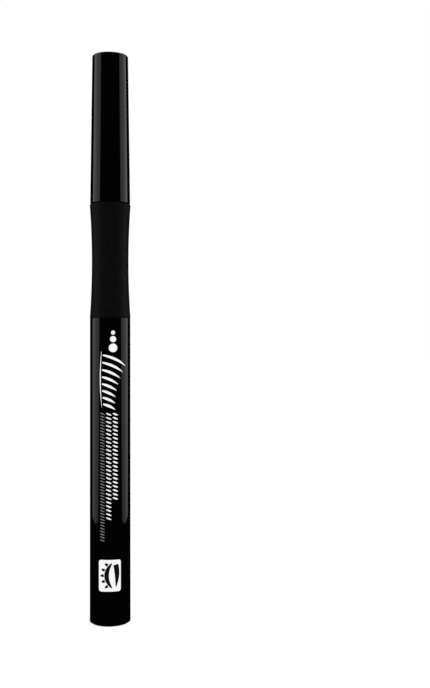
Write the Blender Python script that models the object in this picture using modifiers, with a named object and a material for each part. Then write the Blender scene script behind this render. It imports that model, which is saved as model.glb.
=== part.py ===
"""Liquid eyeliner pen, standing on its end plug with its axis on Z.

Metres, +Z up. Each turned piece is drawn from its own seat and placed by its location.
"""
import math

import bmesh
import bpy
from mathutils import Vector

# Facets round the turned pieces and in their fillets
OUTER_STEPS = 48
INNER_STEPS = 24
FEED_STEPS = 20
FILLET_STEPS = 2
SHARP_ANGLE = math.radians(35)

# Clearances, and how far a cutter runs past what it cuts
FIT_GAP = 0.00005          # pieces pressed, glued or seated on each other
SLIDE_GAP = 0.0001         # pieces that slide past each other
SNAP_GAP = 0.00004         # snap rib over snap bead
OVERRUN = 0.0005
MERGE_DISTANCE = 0.000001

# End plug
PLUG_RIM_RADIUS = 0.00456
PLUG_RIM_HEIGHT = 0.00027
PLUG_DEPTH = 0.0062
PLUG_WALL = 0.0009
PLUG_RIB_HEIGHT = 0.0001
PLUG_RIB_LENGTH = 0.0012
PLUG_RIM_FILLET = 0.00009

# Barrel
BARREL_LENGTH = 0.07528
BARREL_BASE_RADIUS = 0.00505
BARREL_TOP_RADIUS = 0.004995
BARREL_BORE_RADIUS = 0.004
BARREL_BASE_FILLET = 0.00012
BARREL_TOP_FILLET = 0.00006

# Soft grip
GRIP_LENGTH = 0.02845
GRIP_END_RADIUS = 0.00505
GRIP_WAIST_RADIUS = 0.00454
GRIP_LIP_FILLET = 0.0005
GRIP_BASE_FILLET = 0.0001
GRIP_WAIST_STEPS = 12

# Front barrel, under the grip and down into the barrel
FRONT_SPIGOT_LENGTH = 0.00868
FRONT_BORE_RADIUS = 0.00295
FRONT_STEP_BELOW_GRIP_TOP = 0.001

# Ink tank and its mixing ball
TANK_WALL = 0.00075
TANK_FLOOR = 0.0008
TANK_CORNER = 0.0006
BALL_RADIUS = 0.0015
BALL_SEGMENTS = 16
BALL_RINGS = 10

# Collector, its seal and the wick
COLLECTOR_PLUG_DEPTH = 0.0055
COLLECTOR_FLANGE = 0.0008
COLLECTOR_BELOW_NOZZLE = 0.0009
COLLECTOR_CORE_WALL = 0.0007
COLLECTOR_FINS = 18
COLLECTOR_FIN_SHARE = 0.4          # of the pitch from fin to fin
COLLECTOR_SLOT_WIDTH = 0.0006
SEAL_WIRE_RADIUS = 0.0003
SEAL_WIRE_SEGMENTS = 8
WICK_RADIUS = 0.0008
WICK_BELOW_COLLECTOR = 0.0036
WICK_IN_NIB = 0.0028

# Nozzle, nib holder and nib
NECK_RADIUS = 0.00379
NECK_LENGTH = 0.0029
BEAD_HEIGHT = 0.00011
BEAD_LENGTH = 0.0005
BEAD_RAMP_LENGTH = 0.00026        # slope under the bead, which lets the cap come off
BEAD_STEP_HEIGHT = 0.00004
BEAD_STEP_LENGTH = 0.0004
FLARE_LENGTH = 0.0102
FLARE_POWER = 1.9
FLARE_STEPS = 10
MOUTH_WALL = 0.00066
MOUTH_LENGTH = 0.0032
MOUTH_FILLET = 0.0002
MOUTH_LIP = 0.001
NOZZLE_SPIGOT_LENGTH = 0.004
NIB_RADIUS = 0.00143
NIB_EXPOSED = 0.0107
NIB_SHANK = 0.0095
NIB_TIP_RADIUS = 0.00005
HOLDER_WALL = 0.00022
HOLDER_INSET = 0.00025

# Cap
CAP_BASE_RADIUS = 0.00494
CAP_TOP_RADIUS = 0.004436
CAP_TOP_WALL = 0.0011
CAP_TOP_FILLET = 0.00022
CAP_RIM_FILLET = 0.0001
CAP_BORE_RADIUS = 0.0036
CAP_CHAMFER = 0.0003
SNAP_RIB_HEIGHT = 0.00008
SNAP_RIB_LENGTH = 0.0008
SNAP_RIB_BELOW_BEAD = 0.0003

# Retainer, inner cap, its seal and spring
RETAINER_HEIGHT = 0.0013
RETAINER_NOZZLE_ROOM = 0.00034
INNER_CAP_SIDE_GAP = 0.00015
INNER_CAP_FLANGE_HEIGHT = 0.0012
INNER_CAP_SKIRT_WALL = 0.00065
INNER_CAP_SHOULDER = 0.0006
INNER_CAP_NIB_ROOM = 0.00052
INNER_CAP_WALL = 0.0006
INNER_CAP_ABOVE_TIP = 0.00125
INNER_CAP_TOP = 0.0008
INNER_CAP_CHAMFER = 0.0003
INNER_CAP_TRAVEL = 0.0057
CAP_SEAL_NIB_ROOM = 0.00032
CAP_SEAL_HEIGHT = 0.0006
SPRING_WIRE_RADIUS = 0.0002
SPRING_OPEN_TURNS = 7
SPRING_CLOSED_TURNS = 1            # at each end
SPRING_TURN_POINTS = 12

# Heights of the seats, from the flat bottom of the end plug up
barrel_base = PLUG_RIM_HEIGHT + FIT_GAP
barrel_top = barrel_base + BARREL_LENGTH
grip_base = barrel_top + FIT_GAP
grip_top = grip_base + GRIP_LENGTH
front_base = barrel_top - FRONT_SPIGOT_LENGTH
front_top = grip_top - FRONT_STEP_BELOW_GRIP_TOP
comb_base = front_base - FIT_GAP
flange_base = comb_base - COLLECTOR_FLANGE
collector_base = flange_base - COLLECTOR_PLUG_DEPTH
tank_base = PLUG_RIM_HEIGHT + PLUG_DEPTH + FIT_GAP
tank_top = flange_base - FIT_GAP
neck_base = front_top + FIT_GAP
spigot_base = neck_base - NOZZLE_SPIGOT_LENGTH
comb_top = spigot_base - COLLECTOR_BELOW_NOZZLE
bead_base = grip_top + NECK_LENGTH
bead_top = bead_base + BEAD_LENGTH
flare_base = bead_top + BEAD_STEP_LENGTH
mouth_base = flare_base + FLARE_LENGTH
nozzle_top = mouth_base + MOUTH_LENGTH
nib_base = nozzle_top - NIB_SHANK
nib_top = nozzle_top + NIB_EXPOSED
holder_base = spigot_base + HOLDER_INSET
holder_top = nozzle_top - MOUTH_LIP - FIT_GAP
inner_cap_base = mouth_base
retainer_base = inner_cap_base - FIT_GAP - RETAINER_HEIGHT
cap_seal_base = nozzle_top + FIT_GAP
inner_shoulder = cap_seal_base + CAP_SEAL_HEIGHT + FIT_GAP
skirt_top = inner_shoulder + INNER_CAP_SHOULDER
cavity_top = nib_top + INNER_CAP_ABOVE_TIP
inner_cap_top = cavity_top + INNER_CAP_TOP
cap_base = grip_top + FIT_GAP
cap_step = retainer_base - FIT_GAP
cap_ceiling = inner_cap_top + INNER_CAP_TRAVEL + FIT_GAP
cap_top = cap_ceiling + CAP_TOP_WALL
spring_base = skirt_top + FIT_GAP
spring_top = cap_ceiling - FIT_GAP

# Radii that seat one piece in another
tank_radius = BARREL_BORE_RADIUS - FIT_GAP
tank_bore = tank_radius - TANK_WALL
seal_ring_radius = tank_bore - FIT_GAP - SEAL_WIRE_RADIUS
wick_bore = WICK_RADIUS + SLIDE_GAP
core_radius = wick_bore + COLLECTOR_CORE_WALL
nib_bore = NIB_RADIUS + FIT_GAP
holder_radius = nib_bore + HOLDER_WALL
nozzle_bore = holder_radius + FIT_GAP
mouth_radius = nozzle_bore + MOUTH_WALL
bead_radius = NECK_RADIUS + BEAD_HEIGHT
inner_cap_bore = NIB_RADIUS + INNER_CAP_NIB_ROOM
inner_cap_radius = inner_cap_bore + INNER_CAP_WALL
skirt_bore = mouth_radius + FIT_GAP
skirt_radius = skirt_bore + INNER_CAP_SKIRT_WALL

GLOSS_BLACK = (0.004, 0.004, 0.0045)
GRIP_BLACK = (0.014, 0.014, 0.015)
FELT_BLACK = (0.008, 0.008, 0.008)
DARK_PLASTIC = (0.03, 0.03, 0.032)
NATURAL_PLASTIC = (0.72, 0.73, 0.7)
WHITE_PLASTIC = (0.8, 0.8, 0.78)
STEEL = (0.6, 0.6, 0.62)


def make_material(name, colour, roughness, metallic=0.0):
    material = bpy.data.materials.new(name)
    material.use_nodes = True
    shader = material.node_tree.nodes["Principled BSDF"]
    shader.inputs["Base Color"].default_value = (*colour, 1)
    shader.inputs["Roughness"].default_value = roughness
    shader.inputs["Metallic"].default_value = metallic
    material.diffuse_color = (*colour, 1)
    return material


def fillet_arc(before, corner, after, radius):
    """Points of the arc that rounds an outline's corner."""
    corner = Vector(corner)
    back = (Vector(before) - corner).normalized()
    ahead = (Vector(after) - corner).normalized()
    half = back.angle(ahead) / 2
    centre = corner + (back + ahead).normalized() * radius / math.sin(half)
    start = corner + back * radius / math.tan(half) - centre
    end = corner + ahead * radius / math.tan(half) - centre
    sweep = start.angle(end)
    points = []
    for step in range(FILLET_STEPS + 1):
        swept = sweep * step / FILLET_STEPS
        spoke = (start * math.sin(sweep - swept) + end * math.sin(swept)) / math.sin(sweep)
        points.append(tuple(centre + spoke))
    return points


def round_corners(corners):
    """An outline's points. A corner is (radius, height), or has its fillet as a third number."""
    points = []
    for index, corner in enumerate(corners):
        if len(corner) == 2:
            points.append(corner)
            continue
        before = corners[index - 1][:2]
        after = corners[(index + 1) % len(corners)][:2]
        points += fillet_arc(before, corner[:2], after, corner[2])
    return points


def add_object(name, data, collection, height, parent):
    piece = bpy.data.objects.new(name, data)
    collection.objects.link(piece)
    piece.location.z = height - parent.location.z
    piece.parent = parent
    return piece


def bake(piece):
    """Apply the piece's modifiers, then shade it smooth between its sharp edges."""
    evaluated = piece.evaluated_get(bpy.context.evaluated_depsgraph_get())
    mesh = bpy.data.meshes.new_from_object(evaluated)
    mesh.name = piece.name
    piece.modifiers.clear()
    piece.data = mesh
    mesh.shade_smooth()
    mesh.set_sharp_from_angle(angle=SHARP_ANGLE)


def turn(name, corners, material, height, parent, steps=INNER_STEPS, cutter=None):
    """Turn an outline about Z. It runs outwards over the top, down the outside and up any bore."""
    points = round_corners(corners)
    edges = [(index, index + 1) for index in range(len(points) - 1)]
    if points[0][0] > 0:
        edges.append((len(points) - 1, 0))
    mesh = bpy.data.meshes.new(name)
    mesh.from_pydata([(radius, 0, level) for radius, level in points], edges, [])
    mesh.materials.append(material)
    piece = add_object(name, mesh, parts, height, parent)
    screw = piece.modifiers.new("Turn", "SCREW")
    screw.steps = screw.render_steps = steps
    screw.use_merge_vertices = True
    screw.merge_threshold = MERGE_DISTANCE
    if cutter:
        slot = piece.modifiers.new("Slot", "BOOLEAN")
        slot.object = cutter
    bake(piece)


def primitive(name, material, parent, height):
    """Take the primitive that was just added as a piece."""
    piece = bpy.context.object
    for collection in piece.users_collection:
        collection.objects.unlink(piece)
    parts.objects.link(piece)
    piece.name = piece.data.name = name
    piece.data.materials.append(material)
    piece.data.shade_smooth()
    piece.data.set_sharp_from_angle(angle=SHARP_ANGLE)
    piece.parent = parent
    piece.location.z = height - parent.location.z


def add_group(name, height):
    """An empty on the pen's axis, which carries the pieces that move together."""
    group = bpy.data.objects.new(name, None)
    group.location.z = height
    parts.objects.link(group)
    return group


def make_end_plug(pen):
    body = BARREL_BORE_RADIUS - FIT_GAP - PLUG_RIB_HEIGHT
    rib = body + PLUG_RIB_HEIGHT
    rib_base = PLUG_RIM_HEIGHT + (PLUG_DEPTH - PLUG_RIB_LENGTH) / 2
    top = PLUG_RIM_HEIGHT + PLUG_DEPTH
    bore = body - PLUG_WALL
    corners = [
        (0, PLUG_RIM_HEIGHT + PLUG_WALL),
        (bore, PLUG_RIM_HEIGHT + PLUG_WALL),
        (bore, top),
        (body, top, PLUG_WALL / 3),
        (body, rib_base + PLUG_RIB_LENGTH),
        (rib, rib_base + PLUG_RIB_LENGTH - PLUG_RIB_HEIGHT),
        (rib, rib_base + PLUG_RIB_HEIGHT),
        (body, rib_base),
        (body, PLUG_RIM_HEIGHT),
        (PLUG_RIM_RADIUS, PLUG_RIM_HEIGHT),
        (PLUG_RIM_RADIUS, 0, PLUG_RIM_FILLET),
        (0, 0),
    ]
    material = make_material("plug_gloss", GLOSS_BLACK, 0.15)
    turn("end_plug", corners, material, 0, pen, OUTER_STEPS)


def make_barrel(pen):
    corners = [
        (BARREL_TOP_RADIUS, BARREL_LENGTH, BARREL_TOP_FILLET),
        (BARREL_BASE_RADIUS, 0, BARREL_BASE_FILLET),
        (BARREL_BORE_RADIUS, 0),
        (BARREL_BORE_RADIUS, BARREL_LENGTH),
    ]
    material = make_material("barrel_gloss", GLOSS_BLACK, 0.08)
    turn("barrel", corners, material, barrel_base, pen, OUTER_STEPS)


def make_grip(pen):
    waist_length = GRIP_LENGTH - GRIP_LIP_FILLET
    drop = GRIP_END_RADIUS - GRIP_WAIST_RADIUS
    waist = []
    for step in range(1, GRIP_WAIST_STEPS):
        share = 1 - step / GRIP_WAIST_STEPS
        radius = GRIP_WAIST_RADIUS + drop * (2 * share - 1) ** 2
        waist.append((radius, waist_length * share))
    bore = NECK_RADIUS + FIT_GAP
    corners = [(GRIP_END_RADIUS, GRIP_LENGTH, GRIP_LIP_FILLET)]
    corners += waist
    corners += [(GRIP_END_RADIUS, 0, GRIP_BASE_FILLET), (bore, 0), (bore, GRIP_LENGTH)]
    material = make_material("grip_rubber", GRIP_BLACK, 0.65)
    turn("grip_sleeve", corners, material, grip_base, pen, OUTER_STEPS)


def make_front_barrel(pen):
    spigot = BARREL_BORE_RADIUS - FIT_GAP
    length = front_top - front_base
    corners = [
        (NECK_RADIUS, length),
        (NECK_RADIUS, FRONT_SPIGOT_LENGTH),
        (spigot, FRONT_SPIGOT_LENGTH),
        (spigot, 0),
        (FRONT_BORE_RADIUS, 0),
        (FRONT_BORE_RADIUS, length),
    ]
    material = make_material("front_barrel_plastic", DARK_PLASTIC, 0.35)
    turn("front_barrel", corners, material, front_base, pen)


def make_tank(pen):
    length = tank_top - tank_base
    corners = [
        (0, TANK_FLOOR),
        (tank_bore, TANK_FLOOR, TANK_CORNER),
        (tank_bore, length),
        (tank_radius, length),
        (tank_radius, 0, TANK_CORNER),
        (0, 0),
    ]
    material = make_material("tank_plastic", NATURAL_PLASTIC, 0.3)
    turn("ink_tank", corners, material, tank_base, pen)


def make_collector(pen):
    comb_length = comb_top - comb_base
    pitch = comb_length / COLLECTOR_FINS
    fin = pitch * COLLECTOR_FIN_SHARE
    fin_radius = FRONT_BORE_RADIUS - FIT_GAP
    flange_radius = BARREL_BORE_RADIUS - FIT_GAP
    plug_radius = tank_bore - FIT_GAP
    groove_radius = seal_ring_radius - SEAL_WIRE_RADIUS - FIT_GAP
    groove_half = SEAL_WIRE_RADIUS + FIT_GAP
    groove = -COLLECTOR_PLUG_DEPTH / 2
    top = COLLECTOR_FLANGE + comb_length
    corners = []
    for index in range(COLLECTOR_FINS):
        level = top - pitch * index
        corners += [(fin_radius, level), (fin_radius, level - fin)]
        corners += [(core_radius, level - fin), (core_radius, level - pitch)]
    corners += [
        (flange_radius, COLLECTOR_FLANGE),
        (flange_radius, 0),
        (plug_radius, 0),
        (plug_radius, groove + groove_half),
        (groove_radius, groove + groove_half),
        (groove_radius, groove - groove_half),
        (plug_radius, groove - groove_half),
        (plug_radius, -COLLECTOR_PLUG_DEPTH),
        (wick_bore, -COLLECTOR_PLUG_DEPTH),
        (wick_bore, top),
    ]
    # one air slot runs down through the fins
    cutter_mesh = bpy.data.meshes.new("air_slot_cutter")
    block = bmesh.new()
    bmesh.ops.create_cube(block, size=1)
    slot_size = Vector((fin_radius - core_radius + OVERRUN, COLLECTOR_SLOT_WIDTH, comb_length + OVERRUN))
    slot_corner = Vector((core_radius + SLIDE_GAP, -COLLECTOR_SLOT_WIDTH / 2, comb_base + SLIDE_GAP))
    bmesh.ops.scale(block, vec=slot_size, verts=block.verts)
    bmesh.ops.translate(block, vec=slot_corner + slot_size / 2, verts=block.verts)
    block.to_mesh(cutter_mesh)
    block.free()
    cutter = bpy.data.objects.new("air_slot_cutter", cutter_mesh)
    cutter.hide_render = True
    cutter.display_type = "WIRE"
    cutters.objects.link(cutter)
    material = make_material("collector_plastic", WHITE_PLASTIC, 0.4)
    turn("ink_collector", corners, material, flange_base, pen, FEED_STEPS, cutter)

    bpy.ops.mesh.primitive_torus_add(
        major_radius=seal_ring_radius, minor_radius=SEAL_WIRE_RADIUS,
        major_segments=INNER_STEPS, minor_segments=SEAL_WIRE_SEGMENTS)
    primitive("tank_seal", make_material("seal_rubber", GRIP_BLACK, 0.5), pen, flange_base + groove)


def make_wick(pen):
    base = collector_base - WICK_BELOW_COLLECTOR
    top = nib_base + WICK_IN_NIB
    bpy.ops.mesh.primitive_cylinder_add(vertices=FEED_STEPS, radius=WICK_RADIUS, depth=top - base)
    primitive("feed_wick", make_material("wick_fibre", FELT_BLACK, 0.9), pen, (base + top) / 2)


def make_ball(group):
    bpy.ops.mesh.primitive_uv_sphere_add(
        segments=BALL_SEGMENTS, ring_count=BALL_RINGS, radius=BALL_RADIUS)
    primitive("mixing_ball", make_material("ball_steel", STEEL, 0.15, 1.0), group, group.location.z)


def make_nozzle(pen):
    spigot = FRONT_BORE_RADIUS - FIT_GAP
    step_radius = NECK_RADIUS + BEAD_STEP_HEIGHT
    bead_fillet = (bead_radius - step_radius) / 2
    corners = [(nib_bore, nozzle_top), (mouth_radius, nozzle_top, MOUTH_FILLET)]
    for step in range(FLARE_STEPS + 1):
        share = step / FLARE_STEPS
        radius = mouth_radius + (NECK_RADIUS - mouth_radius) * share ** FLARE_POWER
        corners.append((radius, mouth_base - FLARE_LENGTH * share))
    corners += [
        (step_radius, flare_base),
        (step_radius, bead_top),
        (bead_radius, bead_top, bead_fillet),
        (bead_radius, bead_base + BEAD_RAMP_LENGTH),
        (NECK_RADIUS, bead_base),
        (NECK_RADIUS, neck_base),
        (spigot, neck_base),
        (spigot, spigot_base),
        (nozzle_bore, spigot_base),
        (nozzle_bore, nozzle_top - MOUTH_LIP),
        (nib_bore, nozzle_top - MOUTH_LIP),
    ]
    seated = [(radius, level - neck_base, *fillet) for radius, level, *fillet in corners]
    material = make_material("nozzle_gloss", GLOSS_BLACK, 0.12)
    turn("nozzle", seated, material, neck_base, pen, OUTER_STEPS)


def make_nib_and_holder(pen):
    length = holder_top - holder_base
    step = nib_base - FIT_GAP - holder_base
    corners = [
        (holder_radius, length),
        (holder_radius, 0),
        (wick_bore, 0),
        (wick_bore, step),
        (nib_bore, step),
        (nib_bore, length),
    ]
    material = make_material("holder_plastic", DARK_PLASTIC, 0.4)
    turn("nib_holder", corners, material, holder_base, pen)

    socket = WICK_RADIUS + FIT_GAP
    socket_depth = WICK_IN_NIB + FIT_GAP
    nib_corners = [
        (0, NIB_SHANK + NIB_EXPOSED),
        (NIB_TIP_RADIUS, NIB_SHANK + NIB_EXPOSED - NIB_TIP_RADIUS),
        (NIB_RADIUS, NIB_SHANK),
        (NIB_RADIUS, 0),
        (socket, 0),
        (socket, socket_depth),
        (0, socket_depth),
    ]
    turn("nib", nib_corners, make_material("nib_felt", FELT_BLACK, 0.55), nib_base, pen, OUTER_STEPS)


def make_cap(group):
    length = cap_top - cap_base
    step = cap_step - cap_base
    ceiling = cap_ceiling - cap_base
    rib_radius = bead_radius + SNAP_GAP
    mouth = rib_radius + SNAP_RIB_HEIGHT
    rib_top = bead_base - SNAP_RIB_BELOW_BEAD - cap_base
    rib_base = rib_top - SNAP_RIB_LENGTH
    corners = [
        (0, length),
        (CAP_TOP_RADIUS, length, CAP_TOP_FILLET),
        (CAP_BASE_RADIUS, 0, CAP_RIM_FILLET),
        (mouth + CAP_CHAMFER, 0),
        (mouth, CAP_CHAMFER),
        (mouth, rib_base),
        (rib_radius, rib_base + SNAP_RIB_HEIGHT),
        (rib_radius, rib_top - SNAP_RIB_HEIGHT),
        (mouth, rib_top),
        (mouth, step),
        (CAP_BORE_RADIUS, step),
        (CAP_BORE_RADIUS, ceiling, CAP_CHAMFER),
        (0, ceiling),
    ]
    turn("cap_shell", corners, make_material("cap_gloss", GLOSS_BLACK, 0.08), cap_base, group, OUTER_STEPS)

    retainer = CAP_BORE_RADIUS - FIT_GAP
    retainer_bore = mouth_radius + RETAINER_NOZZLE_ROOM
    ring = [
        (retainer, RETAINER_HEIGHT),
        (retainer, 0, CAP_CHAMFER),
        (retainer_bore, 0),
        (retainer_bore, RETAINER_HEIGHT),
    ]
    turn("cap_retainer", ring, make_material("retainer_plastic", DARK_PLASTIC, 0.4), retainer_base, group)


def spring_level(turns):
    """Height of the wire's centre after a number of turns: close wound at both ends."""
    closed_pitch = 2 * SPRING_WIRE_RADIUS + SLIDE_GAP
    start = spring_base + SPRING_WIRE_RADIUS
    end = spring_top - SPRING_WIRE_RADIUS
    closed_rise = closed_pitch * SPRING_CLOSED_TURNS
    open_pitch = (end - start - 2 * closed_rise) / SPRING_OPEN_TURNS
    opened = min(max(turns - SPRING_CLOSED_TURNS, 0), SPRING_OPEN_TURNS)
    return start + (turns - opened) * closed_pitch + opened * open_pitch


def make_cap_spring(group):
    coil_radius = (inner_cap_radius + CAP_BORE_RADIUS) / 2 - SPRING_WIRE_RADIUS / 2
    turns = SPRING_OPEN_TURNS + 2 * SPRING_CLOSED_TURNS
    count = turns * SPRING_TURN_POINTS + 1
    curve = bpy.data.curves.new("cap_spring", "CURVE")
    curve.dimensions = "3D"
    curve.bevel_depth = SPRING_WIRE_RADIUS
    curve.bevel_resolution = 1
    curve.use_fill_caps = True
    spline = curve.splines.new("POLY")
    spline.points.add(count - 1)
    for index, point in enumerate(spline.points):
        turned = index / SPRING_TURN_POINTS
        angle = math.tau * turned
        level = spring_level(turned) - spring_base
        point.co = (coil_radius * math.cos(angle), coil_radius * math.sin(angle), level, 1)
    curve.materials.append(make_material("spring_steel", STEEL, 0.25, 1.0))
    add_object("cap_spring", curve, parts, spring_base, group)


def make_inner_cap(group):
    flange = CAP_BORE_RADIUS - INNER_CAP_SIDE_GAP
    flange_top = inner_cap_base + INNER_CAP_FLANGE_HEIGHT
    corners = [
        (0, inner_cap_top),
        (inner_cap_radius, inner_cap_top, INNER_CAP_CHAMFER),
        (inner_cap_radius, skirt_top),
        (skirt_radius, skirt_top),
        (skirt_radius, flange_top),
        (flange, flange_top),
        (flange, inner_cap_base),
        (skirt_bore + INNER_CAP_CHAMFER, inner_cap_base),
        (skirt_bore, inner_cap_base + INNER_CAP_CHAMFER),
        (skirt_bore, inner_shoulder),
        (inner_cap_bore, inner_shoulder),
        (inner_cap_bore, cavity_top, INNER_CAP_CHAMFER),
        (0, cavity_top),
    ]
    seated = [(radius, level - inner_cap_base, *fillet) for radius, level, *fillet in corners]
    turn("inner_cap", seated, make_material("inner_cap_plastic", DARK_PLASTIC, 0.35), inner_cap_base, group)

    seal_radius = skirt_bore - FIT_GAP
    seal_bore = NIB_RADIUS + CAP_SEAL_NIB_ROOM
    washer = [
        (seal_radius, CAP_SEAL_HEIGHT),
        (seal_radius, 0),
        (seal_bore, 0),
        (seal_bore, CAP_SEAL_HEIGHT),
    ]
    turn("inner_cap_seal", washer, make_material("washer_rubber", GRIP_BLACK, 0.6), cap_seal_base, group)


for old in list(bpy.data.objects):
    bpy.data.objects.remove(old)
parts = bpy.data.collections.new("eyeliner_pen")
cutters = bpy.data.collections.new("cutters")
bpy.context.scene.collection.children.link(parts)
bpy.context.scene.collection.children.link(cutters)

pen_group = add_group("pen_axis", 0)
make_end_plug(pen_group)
make_barrel(pen_group)
make_grip(pen_group)
make_front_barrel(pen_group)
make_tank(pen_group)
make_collector(pen_group)
make_wick(pen_group)
make_nozzle(pen_group)
make_nib_and_holder(pen_group)

ball_group = add_group("ball_axis", tank_base + TANK_FLOOR + FIT_GAP + BALL_RADIUS)
make_ball(ball_group)

cap_group = add_group("cap_axis", cap_base)
make_cap(cap_group)
make_cap_spring(cap_group)

inner_cap_group = add_group("inner_cap_axis", inner_cap_base)
make_inner_cap(inner_cap_group)
inner_cap_group.parent = cap_group
inner_cap_group.location.z = inner_cap_base - cap_base
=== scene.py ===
import math

import bmesh
import bpy
from mathutils import Matrix, Vector


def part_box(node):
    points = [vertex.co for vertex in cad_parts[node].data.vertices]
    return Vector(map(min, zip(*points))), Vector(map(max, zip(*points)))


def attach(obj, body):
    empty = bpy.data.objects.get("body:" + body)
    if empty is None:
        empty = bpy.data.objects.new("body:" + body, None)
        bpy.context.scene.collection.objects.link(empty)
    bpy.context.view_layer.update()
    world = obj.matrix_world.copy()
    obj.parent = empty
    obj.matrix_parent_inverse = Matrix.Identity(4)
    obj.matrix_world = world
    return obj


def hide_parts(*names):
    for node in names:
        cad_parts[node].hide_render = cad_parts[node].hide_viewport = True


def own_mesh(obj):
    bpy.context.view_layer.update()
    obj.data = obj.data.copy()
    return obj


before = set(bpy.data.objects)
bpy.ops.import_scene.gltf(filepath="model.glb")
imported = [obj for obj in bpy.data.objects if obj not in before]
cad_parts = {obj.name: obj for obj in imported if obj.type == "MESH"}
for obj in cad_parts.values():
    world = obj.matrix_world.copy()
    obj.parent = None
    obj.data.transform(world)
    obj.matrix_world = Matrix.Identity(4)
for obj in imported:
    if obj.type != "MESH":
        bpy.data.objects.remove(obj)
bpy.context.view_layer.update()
mm = 0.001

meshWork = {
    "outerSegments": 192,        # round the pieces that show
    "innerSegments": 96,         # round the pieces inside
    "filletSteps": 5,
    "sharpAngle": math.radians(32),
    "weld": 0.0001 * mm,
    "ringTolerance": 0.001 * mm,
}
fitGap = 0.05 * mm               # between pieces that are pressed or seated together


def turnedSize(node):
    # outer radius, foot and top of a node that is turned about the pen's axis
    low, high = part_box(node)
    return high.x, low.z, high.z


# Camera, softboxes, white surroundings and floor

cameraView = {
    "place": (26.13 * mm, -244 * mm, 69.2 * mm),    # level, looking along +Y
    "lens": 51.2,
    "sensor": 36,
    "clipStart": 10 * mm,
}
studio = {
    "softboxDistance": 115 * mm,
    "softboxLow": 5 * mm,
    "softboxHigh": 240 * mm,
    "softboxFrom": math.radians(60),      # round the pen from the camera
    "softboxTo": math.radians(116),
    "footFade": 0.4,             # share of its light that is lost at its foot
    "fadePower": 5.2,
    "footTaper": 0.2,            # share of its width that is masked off at its foot
    "taperPower": 2.85,
    "backdrop": 1.0,
    "daylight": 0.1,             # added to the backdrop for matte surfaces
    "glossDark": 0.0,            # what the gloss mirrors level with the pen
    "glossTop": 0.3,             # and straight above it
    "glossRise": (0.35, 1.0),    # upward share of a ray over which one turns into the other
    "floorRadius": 3000 * mm,
    "floorSegments": 64,
    "floorColor": (0.2, 0.2, 0.2),
    "floorGlow": 0.81,
    "floorRoughness": 0.9,
}
softboxes = {
    # radiance at its near and at its far edge, and the power of its rise from one to the other
    "softboxRight": {"side": 1, "near": 0.64, "far": 1.5, "rise": 1.9},
    "softboxLeft": {"side": -1, "near": 0.61, "far": 1.25, "rise": 1.5},
}


def makeCamera():
    data = bpy.data.cameras.new("camera")
    data.lens = cameraView["lens"]
    data.sensor_width = cameraView["sensor"]
    data.clip_start = cameraView["clipStart"]
    camera = bpy.data.objects.new("camera", data)
    camera.location = cameraView["place"]
    camera.rotation_euler = (math.radians(90), 0, 0)
    bpy.context.scene.collection.objects.link(camera)
    bpy.context.scene.camera = camera


def mathStep(tree, operation, first, second):
    # a Math node fed by sockets or plain values
    step = tree.nodes.new("ShaderNodeMath")
    step.operation = operation
    for socket, value in zip(step.inputs, (first, second)):
        if isinstance(value, bpy.types.NodeSocket):
            tree.links.new(value, socket)
        else:
            socket.default_value = value
    return step.outputs["Value"]


def shadeSoftbox(data, box):
    # brighter towards its far edge, dimmer and narrower towards its foot
    data.use_nodes = True
    tree = data.node_tree
    place = tree.nodes.new("ShaderNodeNewGeometry")
    parts = tree.nodes.new("ShaderNodeSeparateXYZ")
    tree.links.new(place.outputs["Parametric"], parts.inputs["Vector"])
    across = parts.outputs["X"]
    if box["side"] < 0:
        across = mathStep(tree, "SUBTRACT", 1.0, across)
    down = mathStep(tree, "SUBTRACT", 1.0, parts.outputs["Y"])
    rise = mathStep(tree, "POWER", across, box["rise"])
    shine = mathStep(tree, "ADD", mathStep(tree, "MULTIPLY", rise, box["far"] - box["near"]), box["near"])
    fade = mathStep(tree, "POWER", down, studio["fadePower"])
    dimmed = mathStep(tree, "MULTIPLY", fade, studio["footFade"])
    taper = mathStep(tree, "POWER", down, studio["taperPower"])
    masked = mathStep(tree, "MULTIPLY", taper, studio["footTaper"])
    shine = mathStep(tree, "MULTIPLY", shine, mathStep(tree, "SUBTRACT", 1.0, dimmed))
    shine = mathStep(tree, "MULTIPLY", shine, mathStep(tree, "GREATER_THAN", across, masked))
    tree.links.new(shine, tree.nodes["Emission"].inputs["Strength"])


def makeSoftbox(name, box):
    low, high = studio["softboxLow"], studio["softboxHigh"]
    turn = box["side"] * (studio["softboxFrom"] + studio["softboxTo"]) / 2
    spread = studio["softboxTo"] - studio["softboxFrom"]
    width, height = 2 * studio["softboxDistance"] * math.tan(spread / 2), high - low
    data = bpy.data.lights.new(name, "AREA")
    data.shape = "RECTANGLE"
    data.size = width
    data.size_y = height
    data.energy = math.pi * width * height
    shadeSoftbox(data, box)
    light = bpy.data.objects.new(name, data)
    away = Vector((cameraView["place"][0], cameraView["place"][1], 0)).normalized()
    away.rotate(Matrix.Rotation(turn, 3, "Z"))
    light.location = away * studio["softboxDistance"] + Vector((0, 0, (low + high) / 2))
    light.rotation_mode = "QUATERNION"
    light.rotation_quaternion = (-away).to_track_quat("-Z", "Y")
    light.visible_camera = False
    bpy.context.scene.collection.objects.link(light)


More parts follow.
